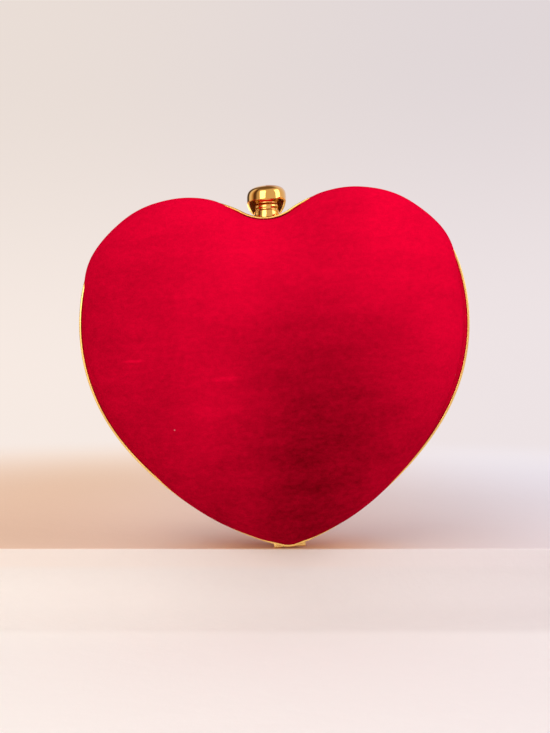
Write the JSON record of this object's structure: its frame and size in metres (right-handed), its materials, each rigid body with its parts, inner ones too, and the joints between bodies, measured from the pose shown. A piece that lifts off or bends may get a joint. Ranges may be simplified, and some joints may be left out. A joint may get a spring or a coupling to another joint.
{
  "type": "heart shaped purse",
  "caption": "Heart shaped box clutch with padded velvet faces in gold frames, hinged at the tip and closed by a tilting knob clasp between the lobes.",
  "frame": {"origin": "bottom centre of the closed purse: underside of the hinge barrel, on the seam plane, half way across the heart", "axes": "+Z from the tip up to the dip between the lobes, +X across the heart to the right seen from the front, -Y out of the front face"},
  "size_m": [0.1654, 0.05, 0.1538],
  "materials": {
    "gold_frame": "polished gold plate",
    "gold_hardware": "polished gold plate",
    "gold_clasp": "mirror polished gold plate",
    "steel": "satin",
    "velvet": "short pile velvet",
    "padding": "soft foam",
    "shell": "moulded, matt",
    "lining": "satin"
  },
  "bodies": {
    "back_half": {"back_frame": "gold_frame", "back_shell": "shell", "back_padding": "padding", "back_velvet": "velvet", "back_lining": "lining", "back_hinge_leaf": "gold_hardware", "back_hinge_rivets": "gold_hardware", "hinge_pin": "steel", "clasp_bracket": "gold_hardware", "clasp_rivets": "gold_hardware", "clasp_pin": "steel", "clasp_spring": "steel", "left_strap_eye": "gold_hardware", "right_strap_eye": "gold_hardware", "strap_eye_rivets": "gold_hardware"},
    "front_half": {"front_frame": "gold_frame", "front_shell": "shell", "front_padding": "padding", "front_velvet": "velvet", "front_lining": "lining", "front_hinge_leaf": "gold_hardware", "front_hinge_rivets": "gold_hardware", "clasp_post": "gold_clasp", "post_screw": "steel"},
    "hood": {"clasp_hood": "gold_clasp", "clasp_lever": "gold_clasp"}
  },
  "joints": [
    {"name": "lid_open", "type": "hinge", "parent": "back_half", "child": "front_half", "pos_m": [0, 0, 0.0017], "axis": [1, 0, 0], "range_deg": [0, 80]},
    {"name": "clasp_tilt", "type": "hinge", "parent": "back_half", "child": "hood", "pos_m": [0, 0.0027, 0.14291], "axis": [-1, 0, 0], "range_deg": [0, 25], "stiffness_Nm_per_rad": 0.02, "springref_deg": -34.38, "deforming": ["clasp_spring"]}
  ]
}
